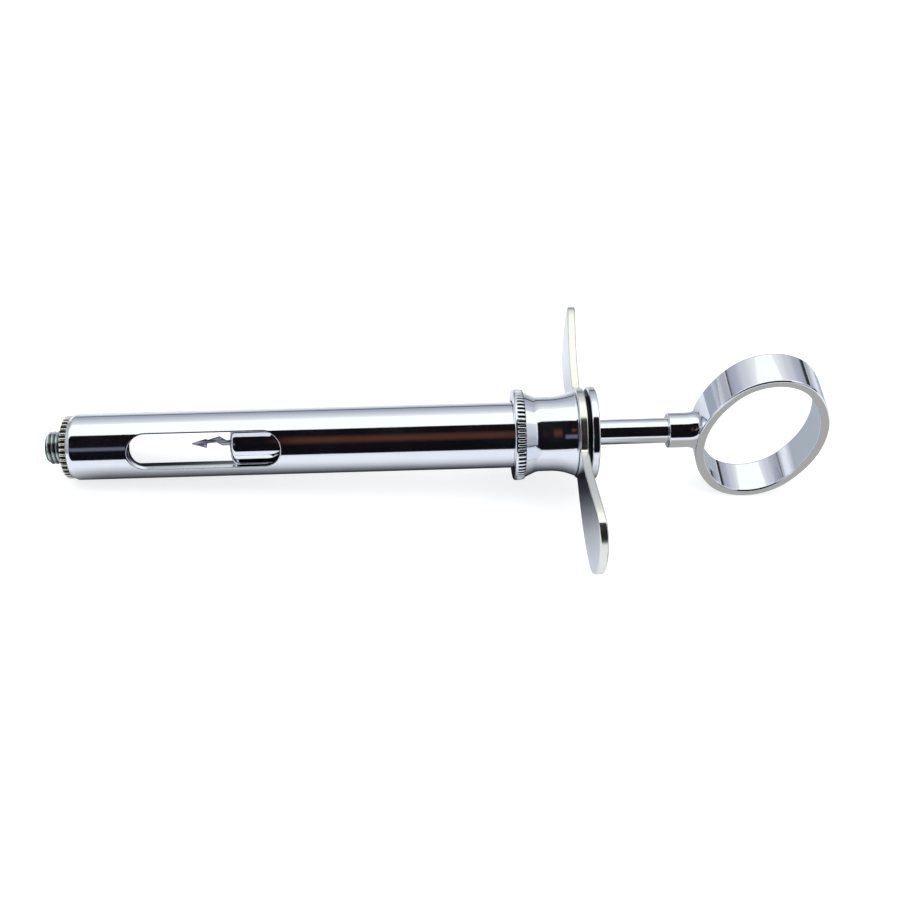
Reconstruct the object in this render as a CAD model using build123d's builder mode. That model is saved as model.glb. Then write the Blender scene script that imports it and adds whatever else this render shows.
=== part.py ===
"""Dental aspirating syringe, in millimetres.

The syringe lies along X with its needle end at low X, as it rests on a table: the finger wings are level,
along Y, and the thumb ring stands upright in the XZ plane. The origin is on the axis, at the face that the
needle's hub screws up against. The plunger is modelled part way down the barrel, as it is photographed.
"""

import os
from math import cos, hypot, pi, radians, sin, tan

from build123d import *

# Needle thread and adapter
thread_d = 6.0            # outside of the M6 x 0.75 needle thread
thread_len = 3.3
thread_lead_in = 0.55     # chamfer at its tip
needle_hole_d = 1.8
flange_d = 11.4
flange_t = 1.2
flange_teeth = 36
flange_tooth_depth = 0.4
tooth_gap_share = 0.62     # of the pitch that a gap between teeth takes at the rim
flange_bevel = 0.35       # turned corner in front of the teeth
spigot_d = 10.0           # screwed into the barrel's front
spigot_len = 6.0
cap_recess_d = 8.0        # takes the cartridge's crimped cap
cap_recess_depth = 4.0
cap_recess_cone = 1.2     # depth of the cone that leads to the needle hole

# Barrel
barrel_d = 12.0
bore_d = 9.3
barrel_len = 86.0
barrel_bevel = 0.45
socket_spare = 0.5        # bottom of the front socket, past the adapter's spigot
window_tilt = 35.0        # degrees that the viewing window looks up from level
view_start = 10.8         # from the barrel's front end
view_len = 27.1
view_w = 6.4
load_start = 8.5
load_len = 63.5
load_w = 8.9
load_corner_r = 2.5

# Collar
collar_back_step = 4.95   # how far the collar runs past the barrel's back end
collar_len = 11.45
ring_d = 16.6             # outside of the knurled front ring
ring_len = 2.0
ring_bevel = 0.4
knurl_teeth = 60
knurl_depth = 0.28
knurl_front = 0.45        # plain band in front of the teeth
waist_d = 13.6
waist_cone_len = 2.3      # cone from the ring's back down to the waist
waist_flat_len = 2.2      # straight stretch of the waist
rim_d = 15.8
flare_slope = (1, 0.55)   # direction of the flare where it reaches the rim
rim_bevel = 0.4
ring_foot = 0.35          # how far the cone starts below the ring's edge

# Finger plate
plate_t = 1.5
plate_centre_d = 16.6
wing_span = 57.8          # tip to tip
wing_neck_w = 7.8         # width beside the centre
wing_neck_at = 6.9        # distance of the neck from the axis
wing_neck_slope = (1, 0.1) # direction of the wing's edge there
wing_mid_w = 12.2
wing_mid_at = 17.5
wing_w = 14.4             # widest, near the tip
wing_w_at = 24.6
wing_bend = 1.3           # how far the tips are bent back
wing_flat = 9.0           # half-length of the flat middle
plate_bevel = 0.3

# Guide bearing
guide_step_d = 13.4
guide_step_len = 0.7
disc_d = 16.9
disc_t = 1.4
disc_bevel = 0.3
guide_d = 10.0            # spigot through the plate, screwed into the collar
guide_tip_gap = 1.55      # from the barrel's back end to the spigot's front end
guide_tip_bevel = 0.4

# Rod seal
seal_section = 1.3
seal_depth = 2.1          # groove's middle, in front of the bearing's back face
seal_room = 0.05          # clearance of the seal in its groove

# Plunger
rod_d = 4.6
piston_d = 8.0
piston_len = 9.6
piston_at = 29.8          # piston's front face, as photographed
piston_nose = 0.6         # turned corner at its front edge
piston_bevel = 0.3        # at its back edge
rod_thread_d = 3.0        # screwed end inside the piston
rod_thread_len = 5.0

# Harpoon
harpoon_len = 6.7         # tip to the piston's face
blade_t = 0.55
blade_w = 2.3
blade_tip_len = 2.4
barb_drop = 0.5           # how far the barb stands out behind the point
neck_w = 1.3
neck_len = 1.4
shoulder_d = 2.9
shoulder_len = 1.0
shank_d = 2.2
harpoon_thread_d = 2.0
harpoon_thread_len = 3.0

# Thumb ring
loop_across = 32.4        # outside, square to the rod
loop_along = 23.8         # outside, along the rod
loop_end_r = 9.6          # outside, of the tighter arcs at the top and bottom
loop_w = 6.8
loop_t = 1.65
loop_bevel = 0.3
loop_at = 126.0           # middle of the loop, as photographed
stem_d = 6.4
stem_at = 109.1           # stem's front end
stem_blend = 1.4          # cone between the stem and the band
stem_bevel = 0.3
stem_socket_d = 3.0       # the rod's screwed end goes in here
stem_socket_len = 5.0

# Clearances
screw_gap = 0.02          # radial, at every screwed joint
run_gap = 0.04            # radial, where the rod runs in its guide

# Stations along X that several pieces share
barrel_x = flange_t
barrel_end_x = barrel_x + barrel_len
collar_end_x = barrel_end_x + collar_back_step
collar_x = collar_end_x - collar_len
plate_x = collar_end_x
plate_end_x = plate_x + plate_t
guide_tip_x = barrel_end_x + guide_tip_gap
disc_x = plate_end_x + guide_step_len
disc_end_x = disc_x + disc_t
seal_x = disc_end_x - seal_depth
harpoon_tip_x = piston_at - harpoon_len
piston_end_x = piston_at + piston_len
loop_front_x = loop_at - loop_along / 2

# Section planes: X runs along the axis and the sketch's Y is the radius
turning = Plane.XZ
window_plane = Plane(origin=(0, 0, 0), x_dir=(1, 0, 0),
                     z_dir=(0, -cos(radians(window_tilt)), sin(radians(window_tilt))))


def station(x):
    """Plane square to the axis at x, seen from the front, with its own Y along Z."""
    return Plane(origin=(x, 0, 0), x_dir=(0, 1, 0), z_dir=(1, 0, 0))


def tooth_gap(teeth, tip_d, depth):
    """Sketch of one V-shaped gap in a turned edge, open past the rim, ready to be cut."""
    root = tip_d / 2 - depth
    reach = tip_d / 2 + depth
    rim_half_w = tip_d / 2 * tan(pi / teeth * tooth_gap_share)
    with BuildSketch(mode=Mode.PRIVATE) as gap:
        with BuildLine():
            Polyline((root, 0), (reach, 2 * rim_half_w), (reach, -2 * rim_half_w), close=True)
        make_face()
    return gap.sketch


def oval(half_along, half_across, end_r):
    """Lines of an oval of four tangent arcs: two of end_r at top and bottom, two flatter ones at the sides."""
    end_z = half_across - end_r
    side_r = (half_along**2 + end_z**2 - end_r**2) / (2 * (half_along - end_r))
    run = hypot(side_r - half_along, end_z)
    join = ((side_r - half_along) / run * end_r, end_z + end_z / run * end_r)
    side = ThreePointArc((join[0], -join[1]), (half_along, 0), join)
    end = ThreePointArc(join, (0, half_across), (-join[0], join[1]))
    mirror(side, about=Plane.YZ)
    mirror(end, about=Plane.XZ)


os.makedirs("parts", exist_ok=True)

# Needle adapter: threaded nipple, toothed flange and a hollow spigot that screws into the barrel
spigot_end_x = flange_t + spigot_len
recess_x = spigot_end_x - cap_recess_depth
with BuildPart() as needle_adapter:
    with BuildSketch(turning):
        with BuildLine():
            Polyline(
                (-thread_len, needle_hole_d / 2),
                (-thread_len, thread_d / 2 - thread_lead_in),
                (-thread_len + thread_lead_in, thread_d / 2),
                (0, thread_d / 2),
                (0, flange_d / 2 - flange_bevel),
                (flange_bevel, flange_d / 2),
                (flange_t, flange_d / 2),
                (flange_t, spigot_d / 2),
                (spigot_end_x, spigot_d / 2),
                (spigot_end_x, cap_recess_d / 2),
                (recess_x, cap_recess_d / 2),
                (recess_x - cap_recess_cone, needle_hole_d / 2),
                close=True,
            )
        make_face()
    revolve(axis=Axis.X)
    with BuildSketch(station(0)):
        with PolarLocations(0, flange_teeth):
            add(tooth_gap(flange_teeth, flange_d, flange_tooth_depth))
    extrude(amount=flange_t, mode=Mode.SUBTRACT)
needle_adapter.part.label = "needle_adapter"
export_step(needle_adapter.part, "parts/needle_adapter.step")

# Barrel: tube with a round-ended viewing window and a longer loading window opposite
socket_end_x = spigot_end_x + socket_spare
with BuildPart() as barrel:
    with BuildSketch(turning):
        with BuildLine():
            Polyline(
                (barrel_x, spigot_d / 2 + screw_gap),
                (barrel_x, barrel_d / 2 - barrel_bevel),
                (barrel_x + 2 * barrel_bevel, barrel_d / 2),
                (barrel_end_x, barrel_d / 2),
                (barrel_end_x, bore_d / 2),
                (socket_end_x, bore_d / 2),
                (socket_end_x, spigot_d / 2 + screw_gap),
                close=True,
            )
        make_face()
    revolve(axis=Axis.X)
    with BuildSketch(window_plane):
        with Locations((barrel_x + view_start + view_len / 2, 0)):
            SlotOverall(view_len, view_w)
    extrude(amount=barrel_d, mode=Mode.SUBTRACT)
    with BuildSketch(window_plane):
        with Locations((barrel_x + load_start + load_len / 2, 0)):
            RectangleRounded(load_len, load_w, load_corner_r)
    extrude(amount=-barrel_d, mode=Mode.SUBTRACT)
barrel.part.label = "barrel"
export_step(barrel.part, "parts/barrel.step")

# Collar: knurled ring, drawn-in waist and flared rim, screwed over the barrel's back end
ring_end_x = collar_x + ring_len
waist_x = ring_end_x + waist_cone_len
flare_x = waist_x + waist_flat_len
rim_x = collar_end_x - rim_bevel
with BuildPart() as collar:
    with BuildSketch(turning):
        with BuildLine():
            Polyline(
                (flare_x, waist_d / 2),
                (waist_x, waist_d / 2),
                (ring_end_x, ring_d / 2 - ring_foot),
                (ring_end_x, ring_d / 2),
                (collar_x + ring_bevel, ring_d / 2),
                (collar_x, ring_d / 2 - ring_bevel),
                (collar_x, barrel_d / 2 + screw_gap),
                (barrel_end_x, barrel_d / 2 + screw_gap),
                (barrel_end_x, guide_d / 2 + screw_gap),
                (collar_end_x, guide_d / 2 + screw_gap),
                (collar_end_x, rim_d / 2 - rim_bevel),
                (rim_x, rim_d / 2),
            )
            Spline((flare_x, waist_d / 2), (rim_x, rim_d / 2), tangents=((1, 0), flare_slope))
        make_face()
    revolve(axis=Axis.X)
    with BuildSketch(station(collar_x + knurl_front)):
        with PolarLocations(0, knurl_teeth):
            add(tooth_gap(knurl_teeth, ring_d, knurl_depth))
    extrude(amount=ring_len - knurl_front, mode=Mode.SUBTRACT)
collar.part.label = "collar"
export_step(collar.part, "parts/collar.step")

# Finger plate: two paddle wings bent back at their tips, round a hole for the guide
half_span = wing_span / 2
with BuildPart() as finger_grip:
    with BuildSketch(Plane.XY.offset(-wing_w)):
        with BuildLine():
            front = Line((plate_x, -wing_flat), (plate_x, wing_flat))
            front_up = Spline(front @ 1, (plate_x + wing_bend, half_span + plate_t),
                              tangents=((0, 1), (wing_bend * 2, half_span - wing_flat)))
            back_up = Line(front_up @ 1, (plate_end_x + wing_bend, half_span + plate_t))
            back_in = Spline((plate_end_x, wing_flat), back_up @ 1,
                             tangents=((0, 1), (wing_bend * 2, half_span - wing_flat)))
            back = Line((plate_end_x, wing_flat), (plate_end_x, -wing_flat))
            mirror((front_up, back_up, back_in), about=Plane.XZ)
        make_face()
    extrude(amount=2 * wing_w)
    with BuildSketch(station(plate_x - plate_t)):
        Circle(plate_centre_d / 2)
        with BuildLine():
            side = Spline(
                (wing_neck_at, wing_neck_w / 2),
                (wing_mid_at, wing_mid_w / 2),
                (wing_w_at, wing_w / 2),
                tangents=(wing_neck_slope, (1, 0)),
            )
            tip = Spline(side @ 1, (half_span, 0), tangents=((1, 0), (0, -1)))
            mirror((side, tip), about=Plane.XZ)
            Line((wing_neck_at, wing_neck_w / 2), (wing_neck_at, -wing_neck_w / 2))
        make_face()
        mirror(about=Plane.YZ)
        Circle(guide_d / 2 + screw_gap, mode=Mode.SUBTRACT)
    extrude(amount=plate_t + wing_bend + 2 * plate_t, mode=Mode.INTERSECT)
    outline = finger_grip.edges().filter_by(Axis.X, reverse=True).filter_by(Axis.Z, reverse=True)
    chamfer(outline.filter_by(lambda edge: edge.distance_to((plate_x, 0, 0)) > guide_d), plate_bevel)
finger_grip.part.label = "finger_grip"
export_step(finger_grip.part, "parts/finger_grip.step")

# Guide bearing: disc behind the plate, with a hollow spigot through it and a groove for the seal
seal_groove_r = rod_d / 2 + run_gap + seal_section + seal_room
seal_groove_w = seal_section + 2 * seal_room
with BuildPart() as guide_bearing:
    with BuildSketch(turning):
        with BuildLine():
            Polyline(
                (guide_tip_x, rod_d / 2 + run_gap),
                (guide_tip_x, guide_d / 2 - guide_tip_bevel),
                (guide_tip_x + guide_tip_bevel, guide_d / 2),
                (plate_end_x, guide_d / 2),
                (plate_end_x, guide_step_d / 2),
                (disc_x, guide_step_d / 2),
                (disc_x, disc_d / 2 - disc_bevel),
                (disc_x + disc_bevel, disc_d / 2),
                (disc_end_x - disc_bevel, disc_d / 2),
                (disc_end_x, disc_d / 2 - disc_bevel),
                (disc_end_x, rod_d / 2 + run_gap),
                (seal_x + seal_groove_w / 2, rod_d / 2 + run_gap),
                (seal_x + seal_groove_w / 2, seal_groove_r),
                (seal_x - seal_groove_w / 2, seal_groove_r),
                (seal_x - seal_groove_w / 2, rod_d / 2 + run_gap),
                close=True,
            )
        make_face()
    revolve(axis=Axis.X)
guide_bearing.part.label = "guide_bearing"
export_step(guide_bearing.part, "parts/guide_bearing.step")

# Rod seal: rubber ring of square section with broken corners, in the bearing's groove
with BuildPart() as rod_seal:
    with BuildSketch(turning):
        with Locations((seal_x, rod_d / 2 + run_gap + seal_section / 2)):
            Rectangle(seal_section, seal_section)
    revolve(axis=Axis.X)
rod_seal.part.label = "rod_seal"
export_step(rod_seal.part, "parts/rod_seal.step")

# Plunger rod: plain round rod, with a screwed end in the piston and another in the ring's stem
rod_front_x = piston_end_x - rod_thread_len
rod_back_x = stem_at + stem_socket_len
with BuildPart() as plunger_rod:
    with BuildSketch(turning):
        with BuildLine():
            Polyline(
                (rod_front_x, 0),
                (rod_front_x, rod_thread_d / 2),
                (piston_end_x, rod_thread_d / 2),
                (piston_end_x, rod_d / 2),
                (stem_at, rod_d / 2),
                (stem_at, stem_socket_d / 2),
                (rod_back_x, stem_socket_d / 2),
                (rod_back_x, 0),
                close=True,
            )
        make_face()
    revolve(axis=Axis.X)
plunger_rod.part.label = "plunger_rod"
export_step(plunger_rod.part, "parts/plunger_rod.step")

# Piston head: rounded front edge, drilled for the harpoon in front and for the rod behind
with BuildPart() as piston_head:
    with BuildSketch(turning):
        with BuildLine():
            Polyline(
                (piston_at, harpoon_thread_d / 2 + screw_gap),
                (piston_at, piston_d / 2 - piston_nose),
                (piston_at + piston_nose, piston_d / 2),
                (piston_end_x - piston_bevel, piston_d / 2),
                (piston_end_x, piston_d / 2 - piston_bevel),
                (piston_end_x, rod_thread_d / 2 + screw_gap),
                (rod_front_x, rod_thread_d / 2 + screw_gap),
                (rod_front_x, 0),
                (piston_at + harpoon_thread_len, 0),
                (piston_at + harpoon_thread_len, harpoon_thread_d / 2 + screw_gap),
                close=True,
            )
        make_face()
    revolve(axis=Axis.X)
piston_head.part.label = "piston_head"
export_step(piston_head.part, "parts/piston_head.step")

# Harpoon: flat barbed blade on a stepped round shank that screws into the piston
barb_x = harpoon_tip_x + blade_tip_len
neck_end_x = barb_x + neck_len
shoulder_end_x = neck_end_x + shoulder_len
with BuildPart() as harpoon:
    with BuildSketch(turning):
        with BuildLine():
            Polyline(
                (neck_end_x, 0),
                (neck_end_x, shoulder_d / 2),
                (shoulder_end_x, shoulder_d / 2),
                (shoulder_end_x, shank_d / 2),
                (piston_at, shank_d / 2),
                (piston_at, harpoon_thread_d / 2),
                (piston_at + harpoon_thread_len, harpoon_thread_d / 2),
                (piston_at + harpoon_thread_len, 0),
                close=True,
            )
        make_face()
    revolve(axis=Axis.X)
    with BuildSketch(window_plane.offset(-blade_t / 2)):
        with BuildLine():
            Polyline(
                (harpoon_tip_x, 0),
                (barb_x, blade_w / 2),
                (barb_x + barb_drop, blade_w / 2),
                (barb_x, neck_w / 2),
                (neck_end_x, neck_w / 2),
                (neck_end_x, -neck_w / 2),
                (barb_x, -neck_w / 2),
                (barb_x + barb_drop, -blade_w / 2),
                (barb_x, -blade_w / 2),
                close=True,
            )
        make_face()
    extrude(amount=blade_t)
harpoon.part.label = "harpoon"
export_step(harpoon.part, "parts/harpoon.step")

# Thumb ring: wide oval band on a stem, one piece, screwed on the rod's back end
stem_end_x = loop_front_x + loop_t / 2
with BuildPart() as thumb_ring:
    with BuildSketch(Plane(origin=(loop_at, loop_w / 2, 0), x_dir=(1, 0, 0), z_dir=(0, -1, 0))):
        with BuildLine():
            oval(loop_along / 2, loop_across / 2, loop_end_r)
        make_face()
        with BuildLine():
            oval(loop_along / 2 - loop_t, loop_across / 2 - loop_t, loop_end_r - loop_t)
        make_face(mode=Mode.SUBTRACT)
    extrude(amount=loop_w)
    chamfer(thumb_ring.edges(), loop_bevel)
    with BuildSketch(turning):
        with BuildLine():
            Polyline(
                (stem_at, 0),
                (stem_at, stem_d / 2 - stem_bevel),
                (stem_at + stem_bevel, stem_d / 2),
                (loop_front_x - stem_blend, stem_d / 2),
                (stem_end_x, loop_w / 2),
                (stem_end_x, 0),
                close=True,
            )
        make_face()
    revolve(axis=Axis.X)
    with BuildSketch(station(stem_at)):
        Circle(stem_socket_d / 2 + screw_gap)
    extrude(amount=stem_socket_len, mode=Mode.SUBTRACT)
thumb_ring.part.label = "thumb_ring"
export_step(thumb_ring.part, "parts/thumb_ring.step")
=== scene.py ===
"""Looks of the dental aspirating syringe: smooth plated surfaces, thread, knurls and rounded edges.

Sizes are in millimetres until a mesh is made. The syringe lies along X with its needle end at low X.
"""

from math import atan2, ceil, cos, hypot, pi, radians, sin, tan

import bmesh
import bpy
import numpy as np
from mathutils import Matrix, Vector
from mathutils.geometry import delaunay_2d_cdt


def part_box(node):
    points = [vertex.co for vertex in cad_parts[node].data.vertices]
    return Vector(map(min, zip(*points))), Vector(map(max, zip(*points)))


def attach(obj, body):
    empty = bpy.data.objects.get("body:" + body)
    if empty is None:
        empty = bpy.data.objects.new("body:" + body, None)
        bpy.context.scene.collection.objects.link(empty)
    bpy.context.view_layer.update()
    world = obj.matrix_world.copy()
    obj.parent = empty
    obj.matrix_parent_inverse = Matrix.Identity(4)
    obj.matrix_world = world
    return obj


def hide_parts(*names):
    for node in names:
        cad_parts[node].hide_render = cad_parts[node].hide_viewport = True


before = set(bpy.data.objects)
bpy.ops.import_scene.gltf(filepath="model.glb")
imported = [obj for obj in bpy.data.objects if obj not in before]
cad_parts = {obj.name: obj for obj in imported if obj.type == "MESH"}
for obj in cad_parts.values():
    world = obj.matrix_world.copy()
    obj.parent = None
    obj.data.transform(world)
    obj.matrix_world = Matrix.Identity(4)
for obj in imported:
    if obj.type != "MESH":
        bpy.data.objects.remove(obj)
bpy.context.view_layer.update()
MM = 0.001


def span(node):
    """Lowest and highest corner of a CAD node, in millimetres."""
    low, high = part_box(node)
    return low / MM, high / MM


# Sizes read from the frame
adapter_lo, adapter_hi = span("needle_adapter")
barrel_lo, barrel_hi = span("barrel")
collar_lo, collar_hi = span("collar")
plate_lo, plate_hi = span("finger_grip")
_, bearing_hi = span("guide_bearing")
rod_lo, rod_hi = span("plunger_rod")
piston_lo, piston_hi = span("piston_head")
harpoon_lo, harpoon_hi = span("harpoon")
ring_lo, ring_hi = span("thumb_ring")
seal_lo, seal_hi = span("rod_seal")

barrel_r = barrel_hi.z
rod_r = rod_hi.z
screw_gap = 0.02

# Needle adapter
nipple_r = 3.0
thread_pitch = 0.75
thread_depth = 0.46
thread_lead_in = 0.55
thread_relief = 0.28  # plain stretch of root between the thread and the flange
thread_runout = 0.25  # length over which the thread grows at the relief
thread_root_share = 0.12  # share of a half turn taken by the thread's root, and by its flank
thread_flank_share = 0.76
needle_hole_r = 0.9
flange_r = 5.7
flange_end = 1.2
flange_face_r = 4.7  # inside this radius the front face has the thread's finish
flange_plain_r = 5.1  # the knurl cuts nothing inside this radius
flange_teeth = 36
flange_gap_depth = 0.46
flange_crest_share = 0.34  # share of a half tooth taken by its crest, and by its flank
flange_flank_share = 0.36
spigot_r = 5.0
cap_recess_r = 4.0
cap_recess_depth = 4.0
cap_recess_cone = 1.2

# Barrel
bore_r = 4.65
socket_end_x = 7.7
barrel_bevel = 0.45
barrel_front_len = 3.0  # front stretch that holds the bevel and its soft run-out
window_tilt = 35.0
view_window = dict(start=12.0, end=39.1, half_w=3.2, corner_r=3.2, facing=1)
load_window = dict(start=9.7, end=73.2, half_w=4.45, corner_r=2.5, facing=-1)
window_edge = 0.30
window_inner_edge = 0.06

# Collar
knurl_teeth = 60
knurl_gap_depth = 0.34
knurl_crest_share = 0.54  # share of a half tooth taken by its crest, and by its flank
knurl_flank_share = 0.36
knurl_front = 0.45
knurl_full_len = 0.7  # the crests keep the full radius this far, then curve in
knurl_curve = 0.16
ring_len = 2.0
ring_foot = 0.45
back_edge_drop = 0.08
mouth_chamfer = 0.4  # length of the collar's front chamfer, and its depth
mouth_chamfer_depth = 0.3
waist_r = 6.8
waist_start = 85.0
rim_r = 7.9
flare_corner_x = 89.6

# Finger plate
plate_t = 1.5
plate_centre_r = 8.25
wing_neck_w = 7.8
wing_neck_depth = 1.35
wing_mid = (17.5, 6.1)
wing_widest = (24.6, 7.2)
wing_flat = 8.95
guide_r = 5.0
plate_edge = 0.3
net_step = 0.8  # spacing of the inner points that let the plate bend
net_y, net_z = 28.2, 8.0  # how far they reach from the middle
net_room = 0.3  # their distance from the rounded rim and from the hole

# Guide bearing, seal and rod
step_r = 6.7
disc_x = 94.35
disc_lip = 0.5
guide_tip_x = 88.75
rod_bore_r = rod_r + 0.04
seal_groove_r = 3.69
groove_room = 0.05
rod_thread_r = 1.5
rod_thread_len = 5.0

# Piston
nose_groove = (1.9, 2.45)  # inner and outer radius of the groove in its front face
nose_groove_depth = 0.16
nose_groove_lean = 0.1  # how far each wall of the groove leans in

# Harpoon
harpoon_thread_r = 1.0
blade_t = 0.55
blade_tilt = 75.0
blade_edge = 0.07
blade_root_w = 0.44
blade_tip_len = 0.7  # how far the zigzag's point is in front of the CAD blade

# Thumb ring
loop_t = 1.65
loop_end_r = 9.6
loop_edge = 0.35
loop_steps = 56  # flats in each of the oval's four arcs
stem_len = 5.0
stem_r = 3.2
stem_flare = 1.5  # length of the stem's flare into the band, and its growth along Z
stem_sink = 0.15  # how far the flare goes into the band


# Mesh tools
WELD = 1e-4  # corners that round to the same place, in these steps, become one
X_AXIS = np.array([1.0, 0, 0])


def add_piece(mesh, materials, body, node):
    """The object of a mesh: it rides on a body, stands for a node and takes its finishes from the given
    materials.
    """
    for material in materials:
        mesh.materials.append(material)
    piece = bpy.data.objects.new(mesh.name, mesh)
    bpy.context.scene.collection.objects.link(piece)
    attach(piece, body)
    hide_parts(node)


class Shell:
    """Faces with a position and a normal at each corner, joined into one closed mesh at the end."""

    def __init__(self):
        self.corners = []
        self.normals = []
        self.sizes = []
        self.slots = []

    def face(self, points, normals, slot=0, facing=None):
        """One face, turned to look along its normals.

        Without normals it is turned to look along facing at its middle, and Blender works its normals out.
        """
        kept = [i for i in range(len(points)) if np.linalg.norm(points[i] - points[i - 1]) > WELD / 10]
        if len(kept) < 3:
            return
        points = [points[i] for i in kept]
        if normals is None:
            away = facing(sum(points) / len(points))
            normals = [np.zeros(3)] * len(points)
        else:
            normals = [normals[i] for i in kept]
            away = sum(normals)
        first = points[0]
        area = sum(np.cross(b - first, c - first) for b, c in zip(points[1:-1], points[2:]))
        if area @ away < 0:
            points, normals = points[::-1], normals[::-1]
        self.corners += points
        self.normals += normals
        self.sizes.append(len(points))
        self.slots.append(slot)

    def grid(self, points, normals=None, slot=0, facing=None):
        """Faces between rows of points, with each row closed into a ring."""
        columns = len(points[0])
        for i in range(len(points) - 1):
            for j in range(columns):
                k = (j + 1) % columns
                spots = [(i, j), (i, k), (i + 1, k), (i + 1, j)]
                ways = None if normals is None else [normals[row][column] for row, column in spots]
                self.face([points[row][column] for row, column in spots], ways, slot, facing)

    def make(self, name, materials, body, node):
        """Join the corners that meet, and add the piece."""
        at = np.round(np.array(self.corners) / WELD).astype(np.int64)
        unique, index = np.unique(at, axis=0, return_inverse=True)
        index = index.ravel()
        faces, normals, slots, start = [], [], [], 0
        for size, slot_index in zip(self.sizes, self.slots):
            face = [int(v) for v in index[start:start + size]]
            if len(set(face)) == size:
                faces.append(face)
                normals += self.normals[start:start + size]
                slots.append(slot_index)
            start += size
        mesh = bpy.data.meshes.new(name)
        mesh.from_pydata((unique * WELD * MM).tolist(), [], faces)
        mesh.polygons.foreach_set("use_smooth", [True] * len(faces))
        mesh.polygons.foreach_set("material_index", slots)
        mesh.normals_split_custom_set([tuple(n) for n in normals])
        mesh.validate()
        add_piece(mesh, materials, body, node)


def outline(corners, steps=5, closed=False):
    """Points and normals along a profile of (x, r, fillet radius), walked with the material on its right.

    steps is how many flats a fillet of a quarter turn gets.
    """
    count = len(corners)
    points, normals = [], []

    def direction(i, j):
        run = np.array(corners[j % count][:2], float) - np.array(corners[i % count][:2], float)
        return run / np.linalg.norm(run)

    for i, corner in enumerate(corners):
        at = np.array(corner[:2], float)
        into = direction(i - 1, i) if closed or i > 0 else direction(0, 1)
        out = direction(i, i + 1) if closed or i < count - 1 else into
        n0, n1 = np.array([-into[1], into[0]]), np.array([-out[1], out[0]])
        turn = atan2(into[0] * out[1] - into[1] * out[0], into @ out)
        radius = corner[2]
        if radius == 0 or abs(turn) < 1e-6:
            points += [at, at]
            normals += [n0, n1]
            continue
        side = 1 if turn > 0 else -1
        centre = at - into * radius * tan(abs(turn) / 2) + n0 * radius * side
        arc_steps = max(2, ceil(steps * abs(turn) / (pi / 2)))
        for k in range(arc_steps + 1):
            a = turn * k / arc_steps
            n = n0 * cos(a) - into * sin(a)
            points.append(centre - n * radius * side)
            normals.append(n)
    if closed:
        points.append(points[0])
        normals.append(normals[0])
    return np.array(points), np.array(normals)


def turned(points, normals, angles):
    """Rings of a profile turned about X: arrays of points and normals."""
    c, s = np.cos(angles), np.sin(angles)
    ring = np.stack([np.zeros_like(c), c, s], -1)
    return (points[:, None, :1] * X_AXIS + points[:, None, 1:] * ring[None],
            normals[:, None, :1] * X_AXIS + normals[:, None, 1:] * ring[None])


def even(count):
    """Angles of count even steps of a full turn."""
    return np.arange(count) * 2 * pi / count


def circle(x, r, angles):
    """Points round the axis at the given angles. r is one radius, or one for each angle."""
    return np.stack([np.full_like(angles, x), r * np.cos(angles), r * np.sin(angles)], -1)


def lathe(shell, corners, angles, steps=5, closed=False, slot=0):
    """The surface that a profile makes when it is turned about X."""
    points, normals = outline(corners, steps, closed)
    shell.grid(*turned(points, normals, angles), slot=slot)


def rise(turns, flat, flank):
    """A wave of flats and flanks: 0 over a flat about each half turn, 1 about each whole turn."""
    wave = np.abs((turns % 1.0) - 0.5) * 2
    return np.clip((wave - flat) / flank, 0, 1)


def way_out(p, lean=0.0):
    """The direction away from the axis at a place, leaning along X."""
    r = hypot(p[1], p[2])
    return np.array([lean, p[1] / r, p[2] / r])


def zip_rings(shell, outer, inner, normal):
    """Triangles in a flat ring between two closed loops of different counts, both sorted by angle."""
    loops = []
    for loop in (outer, inner):
        angles = np.arctan2(loop[:, 2], loop[:, 1])
        order = np.argsort(angles)
        loops.append((angles[order], loop[order]))
    (a0, p0), (a1, p1) = loops
    i = j = 0
    while i < len(a0) or j < len(a1):
        next0 = a0[(i + 1) % len(a0)] + (2 * pi if i + 1 >= len(a0) else 0)
        next1 = a1[(j + 1) % len(a1)] + (2 * pi if j + 1 >= len(a1) else 0)
        first, second = p0[i % len(a0)], p1[j % len(a1)]
        if j >= len(a1) or (i < len(a0) and next0 <= next1):
            i += 1
            third = p0[i % len(a0)]
        else:
            j += 1
            third = p1[j % len(a1)]
        shell.face([first, third, second], [normal] * 3)


# Materials
def node_adder(tree):
    """A function that adds a node to the tree and returns its outputs.

    values and links are by input, and what else it is given are the node's own settings.
    """
    def add(kind, values=None, links=None, **settings):
        node = tree.nodes.new("ShaderNode" + kind)
        for setting, value in settings.items():
            setattr(node, setting, value)
        for socket, value in (values or {}).items():
            node.inputs[socket].default_value = value
        for socket, source in (links or {}).items():
            tree.links.new(source, node.inputs[socket])
        return node.outputs

    return add


def new_material(name):
    """A material, its node tree and the function that adds nodes."""
    material = bpy.data.materials.new(name)
    material.use_nodes = True
    return material, material.node_tree, node_adder(material.node_tree)


def colour_ramp(tree, source, stops, interpolation="LINEAR"):
    """Colours by a value. stops are places from 0 to 1 with their colours."""
    node = tree.nodes.new("ShaderNodeValToRGB")
    ramp = node.color_ramp
    ramp.interpolation = interpolation
    ramp.elements[0].color, ramp.elements[1].color = (*stops[0][1], 1), (*stops[-1][1], 1)
    for position, colour in stops[1:-1]:
        ramp.elements.new(position).color = (*colour, 1)
    tree.links.new(source, node.inputs["Fac"])
    return node.outputs["Color"]


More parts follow.
